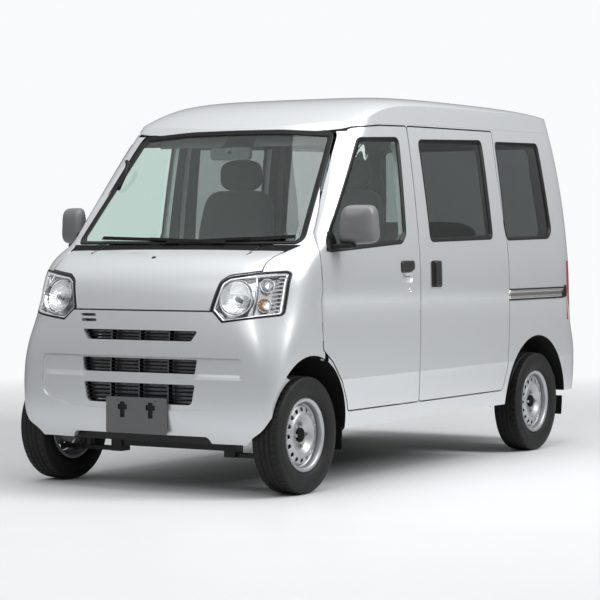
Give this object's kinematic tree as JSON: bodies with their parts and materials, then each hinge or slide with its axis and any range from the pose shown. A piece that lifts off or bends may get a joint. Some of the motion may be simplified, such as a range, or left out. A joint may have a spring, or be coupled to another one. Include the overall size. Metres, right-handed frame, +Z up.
{
  "type": "kei van",
  "caption": "High-roof kei-class van with hinged front doors, hood and tailgate, sliding side doors and steered front wheels.",
  "frame": {"origin": "on the ground, midway between the two ends and the two sides", "axes": "+X to the van's left, +Y to its rear, +Z up"},
  "size_m": [1.808, 3.3931, 1.8797],
  "materials": {
    "body_paint": "glossy silver white",
    "black_trim": "fine grained",
    "grey_trim": "fine grained",
    "clear_glass": "lightly tinted",
    "dark_glass": "dark tinted",
    "lamp_clear": "clear",
    "lamp_bowl": "bright",
    "lamp_red": "glossy",
    "tyre_black": "matt",
    "wheel_silver": "satin silver",
    "chassis_black": "satin",
    "bare_steel": "dull",
    "engine_grey": "rough",
    "seat_cloth": "woven",
    "floor_mat": "vinyl"
  },
  "bodies": {
    "root": {"body_side_left": "body_paint", "body_side_right": "body_paint", "roof_panel": "body_paint", "front_bulkhead": "body_paint", "sliding_door_left": "body_paint", "sliding_door_right": "body_paint", "side_glass": "dark_glass", "windscreen": "clear_glass", "headlamp_lenses": "lamp_clear", "headlamps": "lamp_bowl", "cowl": "black_trim", "bumper_front": "body_paint", "grille_bars": "black_trim", "plate_holder": "grey_trim", "bumper_rear": "body_paint", "tail_lamps": "lamp_red", "front_suspension": "chassis_black", "rear_axle": "chassis_black", "chassis_frame": "chassis_black", "engine_block": "engine_grey", "exhaust": "bare_steel", "fuel_tank": "chassis_black", "floor_pan": "floor_mat", "wheel_liners": "black_trim", "dashboard": "grey_trim", "cabin_fittings": "grey_trim", "seat_cushion_left": "seat_cloth", "seat_back_left": "seat_cloth", "headrest_left": "seat_cloth", "seat_cushion_right": "seat_cloth", "seat_back_right": "seat_cloth", "headrest_right": "seat_cloth", "rear_seat_cushion": "seat_cloth", "rear_seat_back": "seat_cloth", "slide_fittings": "grey_trim", "wipers": "black_trim"},
    "hood": {"hood": "body_paint"},
    "tailgate": {"tailgate": "body_paint", "tailgate_glass": "dark_glass"},
    "front_door_left": {"front_door_left": "body_paint", "door_glass_left": "clear_glass", "door_fittings_left": "grey_trim"},
    "front_door_right": {"front_door_right": "body_paint", "door_glass_right": "clear_glass", "door_fittings_right": "grey_trim"},
    "steering_wheel": {"steering_wheel": "grey_trim"},
    "knuckle_left": {"knuckle_left": "bare_steel"},
    "knuckle_right": {"knuckle_right": "bare_steel"},
    "wheel_front_left": {"tyre_front_left": "tyre_black", "rim_front_left": "wheel_silver"},
    "wheel_rear_left": {"tyre_rear_left": "tyre_black", "rim_rear_left": "wheel_silver"},
    "wheel_front_right": {"tyre_front_right": "tyre_black", "rim_front_right": "wheel_silver"},
    "wheel_rear_right": {"tyre_rear_right": "tyre_black", "rim_rear_right": "wheel_silver"}
  },
  "joints": [
    {"name": "hood_hinge", "type": "hinge", "parent": "root", "child": "hood", "pos_m": [0, -1.342, 1.112], "axis": [-1, 0, 0], "range_deg": [0, 50]},
    {"name": "tailgate_hinge", "type": "hinge", "parent": "root", "child": "tailgate", "pos_m": [0, 1.479, 1.717], "axis": [1, 0, 0], "range_deg": [0, 85]},
    {"name": "front_door_left_hinge", "type": "hinge", "parent": "root", "child": "front_door_left", "pos_m": [0.7185, -1.223, 0.871], "axis": [0, 0, -1], "range_deg": [0, 70]},
    {"name": "front_door_right_hinge", "type": "hinge", "parent": "root", "child": "front_door_right", "pos_m": [-0.7185, -1.223, 0.871], "axis": [0, 0, 1], "range_deg": [0, 70]},
    {"name": "steering_wheel_turn", "type": "hinge", "parent": "root", "child": "steering_wheel", "pos_m": [-0.34, -0.985, 1.02], "axis": [0, 0.6157, 0.788], "range_deg": [-540, 540]},
    {"name": "steer_left", "type": "hinge", "parent": "root", "child": "knuckle_left", "pos_m": [0.64, -1.375, 0.268], "axis": [0, 0, 1], "range_deg": [-33, 33]},
    {"name": "steer_right", "type": "hinge", "parent": "root", "child": "knuckle_right", "pos_m": [-0.64, -1.375, 0.268], "axis": [0, 0, 1], "range_deg": [-33, 33]},
    {"name": "wheel_front_left_spin", "type": "hinge", "parent": "knuckle_left", "child": "wheel_front_left", "pos_m": [0.65, -1.375, 0.268], "axis": [1, 0, 0], "continuous": true},
    {"name": "wheel_front_right_spin", "type": "hinge", "parent": "knuckle_right", "child": "wheel_front_right", "pos_m": [-0.65, -1.375, 0.268], "axis": [1, 0, 0], "continuous": true},
    {"name": "wheel_rear_left_spin", "type": "hinge", "parent": "root", "child": "wheel_rear_left", "pos_m": [0.65, 1.075, 0.268], "axis": [1, 0, 0], "continuous": true},
    {"name": "wheel_rear_right_spin", "type": "hinge", "parent": "root", "child": "wheel_rear_right", "pos_m": [-0.65, 1.075, 0.268], "axis": [1, 0, 0], "continuous": true}
  ],
  "couplings": [
    {"joint": "steer_left", "follows": "steering_wheel_turn", "ratio": 0.061111},
    {"joint": "steer_right", "follows": "steering_wheel_turn", "ratio": 0.061111}
  ]
}
